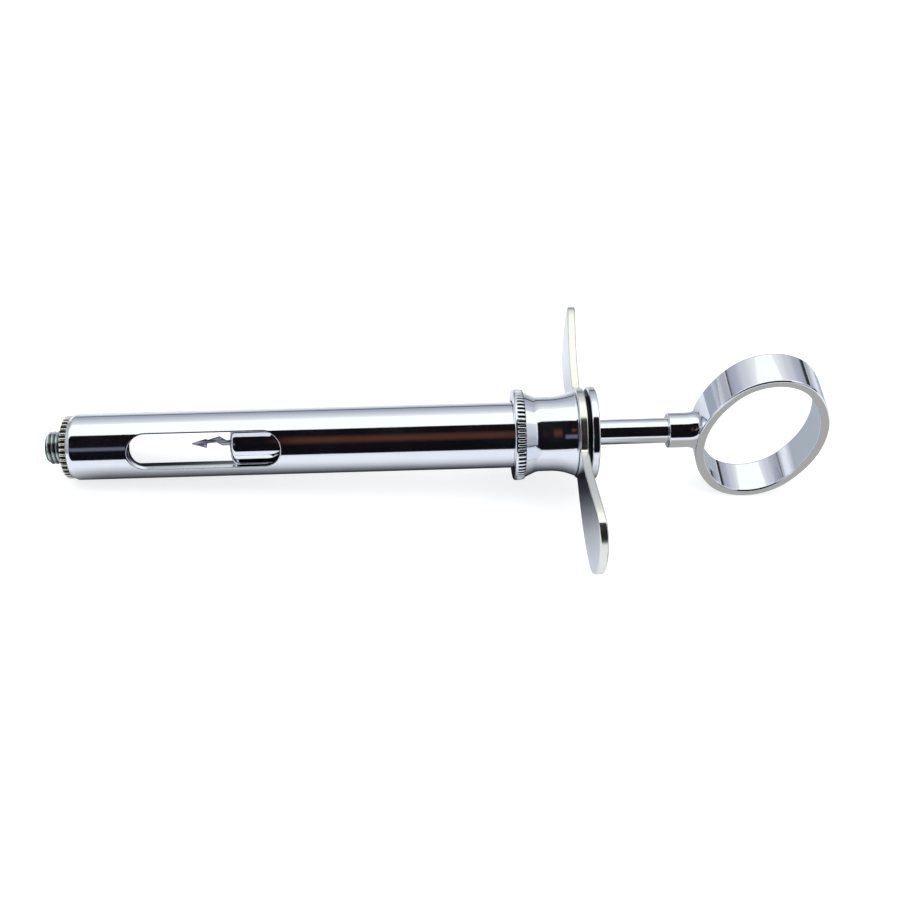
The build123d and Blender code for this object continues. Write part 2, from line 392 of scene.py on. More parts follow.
def plated(name, tint, dark_tint, roughness, wave=0.4, wave_size=5.0, grain=(1.0, 1.0, 1.0), grain_size=900.0,
           grain_bump=0.05, smudge=0.05, groove=None):
    """Polished plating: a slow waviness, fine polishing marks along one direction, and faint smudges.

    groove gives two radii and a colour: painted shade darkens the metal from the larger radius down to the
    smaller one, in the recesses.
    """
    material, tree, add = new_material(name)
    place = add("TexCoord")["Object"]
    slow = add("TexNoise", {"Scale": 1 / (wave_size * MM), "Detail": 1.0}, {"Vector": place})
    stretch = add("Mapping", {"Scale": grain}, {"Vector": place})["Vector"]
    fine = add("TexNoise", {"Scale": grain_size, "Detail": 4.0, "Roughness": 0.6}, {"Vector": stretch})
    patches = add("TexNoise", {"Scale": 140.0, "Detail": 3.0}, {"Vector": place})["Fac"]
    colour = add("Mix", {"A": (*tint, 1), "B": (*dark_tint, 1)}, {"Factor": patches},
                 data_type="RGBA")["Result"]
    # Painted shade: the colour goes dark towards the axis, below the larger radius
    if groove:
        shade_r, bright_r, shade_tint = groove
        split = add("SeparateXYZ", links={0: place})
        across = add("CombineXYZ", links={"Y": split["Y"], "Z": split["Z"]})
        radius = add("VectorMath", links={0: across[0]}, operation="LENGTH")["Value"]
        depth = add("MapRange", {"From Min": shade_r * MM, "From Max": bright_r * MM}, {"Value": radius})
        colour = add("Mix", {"A": (*shade_tint, 1)}, {"B": colour, "Factor": depth["Result"]},
                     data_type="RGBA")["Result"]
    rough = add("MapRange", {"From Min": 0.35, "From Max": 0.75, "To Min": roughness,
                             "To Max": roughness + smudge}, {"Value": patches})
    wave_bump = add("Bump", {"Strength": wave, "Distance": 0.02 * MM}, {"Height": slow["Fac"]})
    fine_bump = add("Bump", {"Strength": grain_bump, "Distance": 0.002 * MM},
                    {"Height": fine["Fac"], "Normal": wave_bump["Normal"]})
    shader = tree.nodes["Principled BSDF"]
    shader.inputs["Metallic"].default_value = 1.0
    tree.links.new(colour, shader.inputs["Base Color"])
    tree.links.new(rough["Result"], shader.inputs["Roughness"])
    tree.links.new(fine_bump["Normal"], shader.inputs["Normal"])
    return material


ALONG = (0.04, 1.0, 1.0)  # polishing marks drawn out along X
ROUND = (1.0, 0.04, 0.04)  # marks of turning, drawn out round the axis
chrome = plated("barrel_chrome_plate", (0.90, 0.91, 0.93), (0.86, 0.87, 0.91), 0.035, grain=ALONG)
collar_chrome = plated("collar_chrome_plate", (0.90, 0.91, 0.93), (0.85, 0.86, 0.91), 0.045, wave=0.7,
                       wave_size=3.0, grain=ROUND)
grip_chrome = plated("grip_chrome_plate", (0.88, 0.89, 0.93), (0.82, 0.84, 0.90), 0.07, wave=0.8)
edge_nickel = plated("grip_edge_nickel", (0.93, 0.92, 0.84), (0.84, 0.83, 0.73), 0.16, wave=1.0,
                     wave_size=2.0, grain_bump=0.4)
nickel = plated("adapter_nickel", (0.84, 0.83, 0.76), (0.70, 0.70, 0.62), 0.20, wave=1.0, wave_size=1.5,
                grain_size=2500.0, grain_bump=0.5, smudge=0.12)
# The thread's roots are darkened with painted shade
thread_nickel = plated("thread_nickel", (0.76, 0.82, 0.79), (0.60, 0.67, 0.65), 0.18, wave=1.0, wave_size=1.5,
                       grain_bump=0.3, smudge=0.10, groove=(2.56, 2.90, (0.16, 0.19, 0.18)))
# The knurl's gaps are darkened to near black with painted shade
knurl_chrome = plated("knurled_chrome_plate", (0.90, 0.91, 0.93), (0.84, 0.85, 0.90), 0.10, grain_bump=0.3,
                      groove=(8.02, 8.24, (0.02, 0.02, 0.03)))
# The gaps between the flange's teeth are darkened with painted shade
tooth_nickel = plated("toothed_nickel", (0.92, 0.90, 0.80), (0.80, 0.79, 0.66), 0.22, wave=1.0, wave_size=1.5,
                      grain_bump=0.5, groove=(5.28, 5.62, (0.07, 0.07, 0.035)))
# Near-black metal that paints the shade in the bearing's step and in the collar's front chamfer
painted_shade_metal = plated("painted_groove_shade", (0.05, 0.055, 0.05), (0.02, 0.02, 0.025), 0.45)
steel = plated("harpoon_bright_steel", (0.80, 0.80, 0.84), (0.68, 0.69, 0.75), 0.18, grain=ALONG,
               grain_bump=0.5)


def rubber(name):
    """Dull black rubber with a fine mottle."""
    material, tree, add = new_material(name)
    mottle = add("TexNoise", {"Scale": 3000.0}, {"Vector": add("TexCoord")["Object"]})
    colour = colour_ramp(tree, mottle["Fac"], [(0.0, (0.012, 0.012, 0.014)), (1.0, (0.030, 0.030, 0.034))])
    shader = tree.nodes["Principled BSDF"]
    shader.inputs["Roughness"].default_value = 0.6
    tree.links.new(colour, shader.inputs["Base Color"])
    return material


nitrile = rubber("nitrile_rubber")


# Needle adapter: threaded nipple, toothed flange and hollow spigot
def build_adapter():
    shell = Shell()
    per_tooth, per_pitch = 8, 12
    angles = even(flange_teeth * per_tooth)
    tip_r = nipple_r - thread_lead_in
    root_r = nipple_r - thread_depth
    start, end = adapter_lo.x, adapter_hi.x

    # Nipple: a ridge that winds round it, cut back by the cone at its tip and by the relief at its root
    stations = np.linspace(start, -thread_relief, int(per_pitch * -start / thread_pitch))
    turns = stations[:, None] / thread_pitch - angles[None] / (2 * pi)
    ridge = thread_depth * rise(turns, thread_root_share, thread_flank_share)
    lead = tip_r + stations[:, None] - start
    runout = np.clip((-thread_relief - stations[:, None]) / thread_runout, 0, 1)
    radius = np.minimum(root_r + ridge * runout, lead)
    shell.grid([circle(x, r, angles) for x, r in zip(stations, radius)], slot=1, facing=way_out)
    lathe(shell, [(start, needle_hole_r, 0), (start, tip_r, 0)], angles, slot=1)
    lathe(shell, [(-thread_relief, root_r, 0), (0, root_r, 0), (0, flange_face_r, 0)], angles, slot=1)

    # Flange: the teeth have flat crests and slanting flanks, and its front edge is rounded
    profile = [(0.0, flange_face_r), (0.0, 5.0), (0.02, 5.25), (0.12, 5.5), (0.35, flange_r),
               (0.6, flange_r), (0.9, flange_r), (1.12, flange_r), (flange_end, 5.62), (flange_end, 5.25),
               (flange_end, spigot_r)]
    gap = flange_gap_depth * rise(angles * flange_teeth / (2 * pi), flange_crest_share, flange_flank_share)
    rows = [circle(x, np.minimum(r, flange_r - gap) if r > flange_plain_r else r, angles) for x, r in profile]

    def flange_out(p):
        if p[0] < 0.3:
            return way_out(p, -2.0)
        return way_out(p, 2.0 if p[0] > flange_end - 0.04 else 0.0)

    shell.grid(rows, facing=flange_out, slot=2)

    # Spigot, with the cartridge cap's recess in its end and the needle's bore from there
    recess_x = end - cap_recess_depth
    lathe(shell, [(flange_end, spigot_r, 0), (end, spigot_r, 0.25), (end, cap_recess_r, 0.15),
                  (recess_x, cap_recess_r, 0), (recess_x - cap_recess_cone, needle_hole_r, 0),
                  (start, needle_hole_r, 0)], angles)
    shell.make("needle_adapter_turned", [nickel, thread_nickel, tooth_nickel],
               "syringe_body", "needle_adapter")


# Barrel: tube whose two window edges are rounded all the way round
class Window:
    """A round-cornered hole cut straight through one wall of the barrel.

    facing is 1 for the near wall and -1 for the far one. Each station across it is a distance from its middle
    line and an angle round its corner.
    """

    def __init__(self, start, end, half_w, corner_r, facing):
        self.start, self.end = start, end
        tilt = radians(window_tilt)
        self.out = np.array([0, -cos(tilt), sin(tilt)]) * facing
        self.side = np.cross(self.out, X_AXIS)
        self.angle = atan2(self.out[2], self.out[1])
        straight = half_w - corner_r
        corner_steps = 20
        low = [(-straight, radians(a)) for a in np.linspace(-90, 0, corner_steps + 1)]
        middle = [(w, 0.0) for w in np.linspace(-straight, straight, 9)[1:-1]] if straight > 0 else []
        high = [(straight, radians(a)) for a in np.linspace(0, 90, corner_steps + 1)]
        if straight == 0:
            high = high[1:]
        self.stations = low + middle + high
        self.corner_r = corner_r

    def across(self, grow):
        """Distances from the window's middle line at each station, for an outline grown by grow."""
        return np.array([w + (self.corner_r + grow) * sin(u) for w, u in self.stations])

    def ends(self, grow):
        """Where the outline crosses each station at its front and at its back."""
        inset = np.array([self.corner_r - (self.corner_r + grow) * cos(u) for _, u in self.stations])
        return self.start + inset, self.end - inset

    def turns(self, radius, grow):
        """Angles of the stations round the axis on a surface of that radius."""
        return self.angle - np.arcsin(self.across(grow) / radius)

    def loop(self, radius, grow):
        """The outline laid on that radius, with the way its wall looks and the way out at each point."""
        w = self.across(grow)
        front, back = self.ends(grow)
        height = np.sqrt(radius ** 2 - w ** 2)
        base = w[:, None] * self.side + height[:, None] * self.out
        u = np.array([u for _, u in self.stations])
        points = np.vstack([front[:, None] * X_AXIS + base, (back[:, None] * X_AXIS + base)[::-1]])
        wall = np.vstack([np.cos(u)[:, None] * X_AXIS - np.sin(u)[:, None] * self.side,
                          (-np.cos(u)[:, None] * X_AXIS - np.sin(u)[:, None] * self.side)[::-1]])
        radial = points * np.array([0, 1, 1]) / radius
        return points, wall, radial


def tube_surface(shell, radius, grow, windows, x0, x1, sign):
    """A cylinder from x0 to x1 with the windows' outlines left open. Returns the angles of its rulings."""
    spans = []
    for window in windows:
        angles = window.turns(radius, grow)
        front, back = window.ends(grow)
        if angles[0] > angles[-1]:
            angles, front, back = angles[::-1], front[::-1], back[::-1]
        shift = 2 * pi * np.floor(angles[0] / (2 * pi))
        spans.append((angles - shift, front, back))
    spans.sort(key=lambda s: s[0][0])
    rulings = []

    def spot(angle, x):
        return np.array([x, radius * cos(angle), radius * sin(angle)])

    def way(angle):
        return sign * np.array([0, cos(angle), sin(angle)])

    for n, (angles, front, back) in enumerate(spans):
        for k in range(len(angles) - 1):
            a, b = angles[k], angles[k + 1]
            shell.face([spot(a, x0), spot(b, x0), spot(b, front[k + 1]), spot(a, front[k])],
                       [way(a), way(b), way(b), way(a)])
            shell.face([spot(a, back[k]), spot(b, back[k + 1]), spot(b, x1), spot(a, x1)],
                       [way(a), way(b), way(b), way(a)])
        rulings += list(angles)
        following = spans[(n + 1) % len(spans)][0][0] + (2 * pi if n + 1 == len(spans) else 0)
        steps = max(2, ceil((following - angles[-1]) / radians(3)))
        gap = np.linspace(angles[-1], following, steps + 1)
        for k in range(steps):
            a, b = gap[k], gap[k + 1]
            left = [spot(a, x0)]
            if k == 0:
                left += [spot(a, front[-1]), spot(a, back[-1])]
            left += [spot(a, x1)]
            right = [spot(b, x1)]
            if k == steps - 1:
                next_front, next_back = spans[(n + 1) % len(spans)][1:]
                right += [spot(b, next_back[0]), spot(b, next_front[0])]
            right += [spot(b, x0)]
            shell.face(left + right, [way(a)] * len(left) + [way(b)] * len(right))
        rulings += list(gap[1:-1])
    return np.array(rulings)


def rounded(start, corner, end, start_way, end_way):
    """Rows of points of a rounded edge, which bends at corner, and the ways that they look."""
    steps = 5
    shares = [k / steps for k in range(steps + 1)]
    return ([(1 - t) ** 2 * start + 2 * t * (1 - t) * corner + t * t * end for t in shares],
            [(1 - t) * start_way + t * end_way for t in shares])


def window_rim(shell, window):
    """The window's wall, rounded where it meets the outside and the bore."""
    start, _, start_way = window.loop(barrel_r, window_edge)
    corner, wall, _ = window.loop(barrel_r, 0)
    rows, ways = rounded(start, corner, corner - window_edge * window.out, start_way, wall)
    corner, wall, _ = window.loop(bore_r, 0)
    end, _, end_way = window.loop(bore_r, window_inner_edge)
    more = rounded(corner + window_inner_edge * window.out, corner, end, wall, -end_way)
    ways = np.array(ways + more[1])
    shell.grid(rows + more[0], ways / np.linalg.norm(ways, axis=-1, keepdims=True))


def build_barrel():
    shell = Shell()
    windows = [Window(**view_window), Window(**load_window)]
    x0, x1 = barrel_lo.x, barrel_hi.x
    front_end = x0 + barrel_front_len
    socket_r = spigot_r + screw_gap
    outer = tube_surface(shell, barrel_r, window_edge, windows, front_end, x1, 1)
    inner = tube_surface(shell, bore_r, window_inner_edge, windows, socket_end_x, x1, -1)
    for window in windows:
        window_rim(shell, window)

    # Front: its rulings differ outside and inside, so the profile begins past its flat face
    points, normals = outline([(x0, socket_r, 0), (x0, barrel_r - barrel_bevel, 0.12),
                               (x0 + 2 * barrel_bevel, barrel_r, 1.2), (front_end, barrel_r, 0)], steps=24)
    face_r = points[2][1]
    shell.grid(*turned(points[2:], normals[2:], outer))
    lathe(shell, [(socket_end_x, bore_r, 0), (socket_end_x, socket_r, 0), (x0, socket_r, 0)], inner)
    zip_rings(shell, circle(x0, face_r, outer), circle(x0, socket_r, inner), -X_AXIS)
    zip_rings(shell, circle(x1, barrel_r, outer), circle(x1, bore_r, inner), X_AXIS)
    shell.make("barrel_tube", [chrome], "syringe_body", "barrel")


# Collar: knurled ring, waist and flared rim
def build_collar():
    shell = Shell()
    per_tooth = 8
    angles = even(knurl_teeth * per_tooth)
    x0, x1 = collar_lo.x, collar_hi.x
    ring_r, ring_end = collar_hi.z, collar_lo.x + ring_len
    foot_r = ring_r - ring_foot
    hold_r = barrel_r + screw_gap
    mouth_x, mouth_r = x0 + mouth_chamfer, hold_r + mouth_chamfer_depth
    guide_hole_r = guide_r + screw_gap

    # The knurled band, from behind the plain front edge to the foot of the cone, with lens-shaped gaps
    stations = np.array([knurl_front, knurl_front + 0.05, 0.6, 0.75, 1.0, 1.3, 1.6, 1.8, 1.9, 1.96, ring_len])
    depths = np.array([0, 0.3, 0.6, 0.85, 1, 1, 0.85, 0.6, 0.45, 0.25, 0.0])
    past = stations - knurl_front
    crest = ring_r - knurl_curve * np.maximum(past * (past - knurl_full_len), 0)
    crest[-1] -= back_edge_drop
    gap = knurl_gap_depth * rise(angles * knurl_teeth / (2 * pi), knurl_crest_share, knurl_flank_share)
    rows = [circle(x0 + x, r - depth * gap, angles) for x, r, depth in zip(stations, crest, depths)]
    rows.append(circle(ring_end, foot_r, angles))

    def band_out(p):
        return way_out(p, 2.0 if p[0] > ring_end - 0.02 else 0.0)

    shell.grid(rows, facing=band_out, slot=1)
    # The front chamfer is painted dark as shade
    lathe(shell, [(mouth_x, hold_r, 0), (x0, mouth_r, 0)], angles, slot=2)
    lathe(shell, [(x0, mouth_r, 0), (x0, ring_r, 0.40), (x0 + knurl_front, ring_r, 0)], angles, steps=8)
    lathe(shell, [(ring_end, foot_r, 0), (waist_start, waist_r, 3.2), (flare_corner_x, waist_r, 9.9),
                  (x1 - 0.05, rim_r, 0.35), (x1, rim_r - 0.45, 0.2), (x1, guide_hole_r, 0),
                  (barrel_hi.x, guide_hole_r, 0), (barrel_hi.x, hold_r, 0), (mouth_x, hold_r, 0)],
          angles, steps=36)
    shell.make("collar_turned", [collar_chrome, knurl_chrome, painted_shade_metal],
               "syringe_body", "collar")


# Finger plate
def spline(points, first, last, steps):
    """A smooth curve through two or three points, with the given directions at its ends."""
    points = np.array(points, float)
    chord = np.linalg.norm(np.diff(points, axis=0), axis=1)
    slopes = np.zeros_like(points)
    slopes[0] = np.array(first) / np.linalg.norm(first)
    slopes[-1] = np.array(last) / np.linalg.norm(last)
    if len(points) == 3:
        h0, h1 = chord
        pull = 3 * ((points[1] - points[0]) * h1 / h0 + (points[2] - points[1]) * h0 / h1)
        slopes[1] = (pull - h1 * slopes[0] - h0 * slopes[2]) / (2 * (h0 + h1))
    curve = []
    for i, h in enumerate(chord):
        for k in range(steps):
            t = k / steps
            curve.append(points[i] * (2 * t ** 3 - 3 * t ** 2 + 1) + points[i + 1] * (3 * t ** 2 - 2 * t ** 3)
                         + h * (slopes[i] * (t ** 3 - 2 * t ** 2 + t) + slopes[i + 1] * (t ** 3 - t ** 2)))
    curve.append(points[-1])
    return np.array(curve)


def plate_outline():
    """The plate's outline in Y and Z, anticlockwise from the far wing's tip, with its outward normals."""
    half_span = plate_hi.y
    neck = (plate_centre_r - wing_neck_depth, wing_neck_w / 2)
    side = spline([neck, wing_mid, wing_widest], (1, 0.1), (1, 0), 22)
    side = side[np.hypot(side[:, 0], side[:, 1]) > plate_centre_r + 0.02]
    end = spline([wing_widest, (half_span, 0)], (1, 0), (0, -1), 26)
    meet = atan2(side[0][1], side[0][0])
    arc = circle(0, plate_centre_r, np.linspace(pi / 2, meet, 26))[:, 1:]
    quarter = np.vstack([arc[:-1], side[:-1], end])
    upper = np.vstack([quarter[::-1], (quarter * [-1, 1])[1:]])
    whole = np.vstack([upper, (upper * [1, -1])[::-1][1:-1]])
    step = np.roll(whole, -1, 0) - np.roll(whole, 1, 0)
    normal = np.stack([step[:, 1], -step[:, 0]], -1)
    return whole, normal / np.linalg.norm(normal, axis=1, keepdims=True)


def bend(y):
    """How far the plate is bent back at distance y from the axis, and the slope there."""
    run = plate_hi.y - wing_flat
    depth = plate_hi.x - plate_lo.x - plate_t
    radius = (run ** 2 + depth ** 2) / (2 * depth)
    past = np.clip(np.abs(y) - wing_flat, 0, None)
    return radius - np.sqrt(radius ** 2 - past ** 2), np.sign(y) * past / np.sqrt(radius ** 2 - past ** 2)


def inside(points, loop):
    """Which points lie inside a closed loop."""
    x, y = points[:, :1], points[:, 1:]
    a, b = loop, np.roll(loop, -1, 0)
    cross = (a[:, 1] > y) != (b[:, 1] > y)
    with np.errstate(divide="ignore", invalid="ignore"):
        at = (b[:, 0] - a[:, 0]) * (y - a[:, 1]) / (b[:, 1] - a[:, 1]) + a[:, 0]
    return (cross & (x < at)).sum(1) % 2 == 1


def build_plate():
    shell = Shell()
    edge, edge_normal = plate_outline()
    hole_r = guide_r + screw_gap
    hole = circle(0, hole_r, even(96))[:, 1:]
    front_x, back_x = plate_lo.x, plate_lo.x + plate_t

    # Both faces: triangles between the rim, the hole and a net of points, kept where their middles are metal
    rim = edge - edge_normal * plate_edge
    net = np.array([(y, z) for y in np.arange(-net_y, net_y + 0.1, net_step)
                    for z in np.arange(-net_z, net_z + 0.1, net_step)])
    shrunk = edge - edge_normal * (plate_edge + net_room)
    net = net[inside(net, shrunk) & (np.hypot(net[:, 0], net[:, 1]) > hole_r + net_room)]
    flat = np.vstack([rim, hole, net])
    count, holes = len(rim), len(hole)
    edges = [(i, (i + 1) % count) for i in range(count)]
    edges += [(count + i, count + (i + 1) % holes) for i in range(holes)]
    made = delaunay_2d_cdt([Vector(p) for p in flat], edges, [], 0, 1e-6)
    places = np.array([tuple(p) for p in made[0]])
    triangles = np.array([tuple(t) for t in made[2]])
    middles = places[triangles].mean(1)
    flat_hole_r = hole_r * cos(pi / holes) - 1e-3
    keep = inside(middles, rim) & (np.hypot(middles[:, 0], middles[:, 1]) > flat_hole_r)

    def lay(points, x):
        """Places on the bent plate, and the way that its front looks there."""
        shift, lean = bend(points[:, 0])
        spots = np.stack([x + shift, points[:, 0], points[:, 1]], -1)
        way = np.stack([-np.ones_like(lean), lean, np.zeros_like(lean)], -1)
        return spots, way / np.linalg.norm(way, axis=1, keepdims=True)

    for x, sign in ((front_x, 1), (back_x, -1)):
        spots, way = lay(places, x)
        for triangle in triangles[keep]:
            shell.face([spots[i] for i in triangle], [way[i] * sign for i in triangle])

    # The edge, rounded on both sides, and the wall of the hole
    rows, ways = [], []
    out = np.stack([np.zeros(count), edge_normal[:, 0], edge_normal[:, 1]], -1)
    steps = 4
    for sign, x, order in ((1, front_x, range(steps + 1)), (-1, back_x, range(steps, -1, -1))):
        for k in order:
            a = pi / 2 * k / steps
            inset, behind = plate_edge * (1 - sin(a)), plate_edge * (1 - cos(a))
            ring, way = lay(edge - edge_normal * inset, x + sign * behind)
            rows.append(ring)
            ways.append(out * sin(a) + way * sign * cos(a))
    shell.grid(rows, ways, slot=1)
    spots, _ = lay(hole, front_x)
    ends, _ = lay(hole, back_x)
    inward = -circle(0, 1.0, even(holes))
    shell.grid([spots, ends], [inward, inward], slot=1)
    shell.make("finger_plate", [grip_chrome, edge_nickel], "syringe_body", "finger_grip")


# Guide bearing: the bright disc and spigot, and the step between the disc and the plate, which is painted
# dark as shade
def build_bearing():
    shell = Shell()
    angles = even(160)
    end, disc_r = bearing_hi.x, bearing_hi.z
    plate_back = plate_lo.x + plate_t
    groove_front, groove_back = seal_lo.x - groove_room, seal_hi.x + groove_room
    lathe(shell, [(disc_x, disc_r - disc_lip, 0), (disc_x, disc_r, 0.3), (end, disc_r, 0.3),
                  (end, rod_bore_r, 0.15), (groove_back, rod_bore_r, 0), (groove_back, seal_groove_r, 0),
                  (groove_front, seal_groove_r, 0), (groove_front, rod_bore_r, 0),
                  (guide_tip_x, rod_bore_r, 0.1), (guide_tip_x, guide_r, 0.35), (plate_back, guide_r, 0)],
          angles)
    # The step is painted dark as shade
    lathe(shell, [(plate_back, guide_r, 0), (plate_back, step_r, 0), (disc_x, step_r, 0),
                  (disc_x, disc_r - disc_lip, 0)], angles, slot=1)
    shell.make("guide_bearing_turned", [collar_chrome, painted_shade_metal],
               "syringe_body", "guide_bearing")


def build_seal():
    shell = Shell()
    edge_r = 0.12
    lathe(shell, [(seal_lo.x, rod_bore_r, edge_r), (seal_lo.x, seal_hi.z, edge_r),
                  (seal_hi.x, seal_hi.z, edge_r), (seal_hi.x, rod_bore_r, edge_r)], even(96), closed=True)
    shell.make("rod_seal_ring", [nitrile], "seal", "rod_seal")


def build_rod():
    shell = Shell()
    front = rod_lo.x + rod_thread_len
    back = rod_hi.x - rod_thread_len
    lathe(shell, [(rod_lo.x, 0, 0), (rod_lo.x, rod_thread_r, 0.15), (front, rod_thread_r, 0),
                  (front, rod_r, 0.12), (back, rod_r, 0.12), (back, rod_thread_r, 0),
                  (rod_hi.x, rod_thread_r, 0.15), (rod_hi.x, 0, 0)], even(96))
    shell.make("plunger_rod_polished", [chrome], "plunger", "plunger_rod")


def build_piston():
    shell = Shell()
    x0, x1, r = piston_lo.x, piston_hi.x, piston_hi.z
    harpoon_socket_x, harpoon_socket_r = harpoon_hi.x, harpoon_thread_r + screw_gap
    rod_socket_x, rod_socket_r = x1 - rod_thread_len, rod_thread_r + screw_gap
    groove_x = x0 + nose_groove_depth
    inner, outer = nose_groove
    lathe(shell, [(harpoon_socket_x, 0, 0), (harpoon_socket_x, harpoon_socket_r, 0),
                  (x0, harpoon_socket_r, 0.12), (x0, inner, 0.1), (groove_x, inner + nose_groove_lean, 0.1),
                  (groove_x, outer - nose_groove_lean, 0.1), (x0, outer, 0.1), (x0, r, 1.1), (x1, r, 0.45),
                  (x1, rod_socket_r, 0.1), (rod_socket_x, rod_socket_r, 0), (rod_socket_x, 0, 0)], even(128))
    shell.make("piston_head_turned", [chrome], "plunger", "piston_head")


def build_harpoon():
    """Flat zigzag blade with softened edges, on its round screwed shank."""
    tip, end = harpoon_lo.x - blade_tip_len, harpoon_hi.x
    # Places along the blade and across it: over the upper barb, then back under the lower one
    shape = [(0, 0), (1.3, 0.42), (2.5, 0.80), (3.0, 0.62), (5.0, 1.30), (6.3, blade_root_w),
             (end - tip, blade_root_w), (end - tip, -blade_root_w), (5.6, -blade_root_w), (4.5, 0.20),
             (2.8, 0.05), (2.75, -0.86)]
    tilt = radians(blade_tilt)
    out = Vector((0, -cos(tilt), sin(tilt)))
    up = Vector((0, sin(tilt), cos(tilt)))
    built = bmesh.new()
    for side in (-1, 1):
        for x, w in shape:
            built.verts.new((Vector((tip + x, 0, 0)) + up * w + out * side * blade_t / 2) * MM)
    built.verts.ensure_lookup_table()
    count = len(shape)
    built.faces.new([built.verts[i] for i in range(count)])
    built.faces.new([built.verts[count + i] for i in reversed(range(count))])
    for i in range(count):
        j = (i + 1) % count
        built.faces.new([built.verts[i], built.verts[j], built.verts[count + j], built.verts[count + i]])
    bmesh.ops.recalc_face_normals(built, faces=built.faces)
    bmesh.ops.bevel(built, geom=list(built.edges), offset=blade_edge * MM, segments=3, affect="EDGES",
                    profile=0.5)
    mesh = bpy.data.meshes.new("harpoon_blade")
    built.to_mesh(mesh)
    built.free()
    mesh.polygons.foreach_set("use_smooth", [True] * len(mesh.polygons))
    mesh.set_sharp_from_angle(angle=radians(35))
    add_piece(mesh, [steel], "plunger", "harpoon")
    shell = Shell()
    lathe(shell, [(piston_lo.x, 0, 0), (piston_lo.x, harpoon_thread_r, 0.1), (end, harpoon_thread_r, 0.15),
                  (end, 0, 0)], even(48))
    shell.make("harpoon_shank", [steel], "plunger", "harpoon")


# Thumb ring: wide oval band with a stem
def oval_path(half_x, half_z, end_r, steps):
    """Points and outward normals of an oval of four tangent arcs, and the radius of its flat arcs."""
    end_z = half_z - end_r
    side_r = (half_x ** 2 + end_z ** 2 - end_r ** 2) / (2 * (half_x - end_r))
    lean = atan2(end_z, side_r - half_x)
    arcs = [((half_x - side_r, 0), side_r, -lean, lean),
            ((0, end_z), end_r, lean, pi - lean),
            ((side_r - half_x, 0), side_r, pi - lean, pi + lean),
            ((0, -end_z), end_r, pi + lean, 2 * pi - lean)]
    points, normals = [], []
    for (cx, cz), r, a0, a1 in arcs:
        for a in np.linspace(a0, a1, steps + 1)[:-1]:
            n = np.array([cos(a), sin(a)])
            points.append(np.array([cx, cz]) + r * n)
            normals.append(n)
    return np.array(points), np.array(normals), side_r


def build_ring():
    shell = Shell()
    half_w, half_z = ring_hi.y, ring_hi.z
    loop_front = ring_lo.x + stem_len
    half_x = (ring_hi.x - loop_front) / 2
    middle = loop_front + half_x
    path, way, side_r = oval_path(half_x, half_z, loop_end_r, loop_steps)
    section, section_normal = outline([(-half_w, -loop_t, loop_edge), (-half_w, 0, loop_edge),
                                       (half_w, 0, loop_edge), (half_w, -loop_t, loop_edge)],
                                      steps=6, closed=True)
    y_axis = np.array([0, 1.0, 0])
    outward = np.stack([way[:, 0], np.zeros(len(way)), way[:, 1]], -1)
    base = np.stack([middle + path[:, 0], np.zeros(len(path)), path[:, 1]], -1)
    points = base[None] + section[:, None, 1:] * outward[None] + section[:, None, :1] * y_axis
    normals = section_normal[:, None, 1:] * outward[None] + section_normal[:, None, :1] * y_axis
    shell.grid(points, normals)
    shell.make("thumb_ring_band", [chrome], "plunger", "thumb_ring")

    stem = Shell()
    x0 = ring_lo.x
    angles = even(96)
    socket_x, socket_r = x0 + stem_len, rod_thread_r + screw_gap
    flare_start = loop_front - stem_flare
    lathe(stem, [(socket_x, socket_r, 0), (x0, socket_r, 0.05), (x0, stem_r, 0.28), (flare_start, stem_r, 0)],
          angles)

    # The flare grows to nearly the band's width and ends inside the band's curved face
    flare_r = half_w - loop_edge * 0.4
    steps = 12
    rows = []
    for k in range(steps + 1):
        a = pi / 2 * k / steps
        out = 1 - cos(a)
        ry = stem_r + (flare_r - stem_r) * out
        z = (stem_r + stem_flare * out) * np.sin(angles)
        band_x = middle - half_x + side_r - np.sqrt(side_r ** 2 - z ** 2)
        x = flare_start + (band_x + stem_sink - flare_start) * sin(a)
        rows.append(np.stack([x, ry * np.cos(angles), z], -1))
    stem.grid(rows, facing=lambda p: np.array([-0.3, p[1], p[2]]))
    stem.grid([rows[-1], circle(socket_x, socket_r, angles)], facing=lambda p: X_AXIS)
    stem.make("thumb_ring_stem", [chrome], "plunger", "thumb_ring")


build_adapter()
build_barrel()
build_collar()
build_plate()
build_bearing()
build_seal()
build_rod()
build_piston()
build_harpoon()
build_ring()


# Studio
STUDIO_CENTRE = np.array([60.0, 0, 0])
TABLE_REACH = 3000.0


def sheet(name, rows, material):
    """A stage piece: a grid of points."""
    across = len(rows[0])
    faces = [(i * across + j, i * across + j + 1, (i + 1) * across + j + 1, (i + 1) * across + j)
             for i in range(len(rows) - 1) for j in range(across - 1)]
    mesh = bpy.data.meshes.new(name)
    mesh.from_pydata([tuple(np.array(p) * MM) for row in rows for p in row], [], faces)
    mesh.materials.append(material)
    made = bpy.data.objects.new(name, mesh)
    bpy.context.scene.collection.objects.link(made)
    return made


def floor_material():
    """White table: white to the camera, pale in the metal, and lit as a real sheet, so it takes shadows."""
    material, tree, add = new_material("white_table")
    tree.nodes.clear()
    path = add("LightPath")
    glossy = add("Math", {1: 0.06}, {0: path["Is Glossy Ray"]}, operation="MULTIPLY")[0]
    through = add("Math", links={0: path["Is Camera Ray"], 1: path["Is Transmission Ray"]},
                  operation="MAXIMUM")[0]
    strength = add("Math", {1: 0.72}, {0: through, 2: glossy}, operation="MULTIPLY_ADD")[0]
    glow = add("Emission", links={"Strength": strength})
    shade = add("Mix", {"A": (0.60, 0.62, 0.66, 1), "B": (0.42, 0.42, 0.42, 1)}, {"Factor": through},
                data_type="RGBA")
    matt = add("BsdfDiffuse", links={"Color": shade["Result"]})
    both = add("AddShader", links={0: glow[0], 1: matt[0]})
    add("OutputMaterial", links={"Surface": both[0]})
    return material


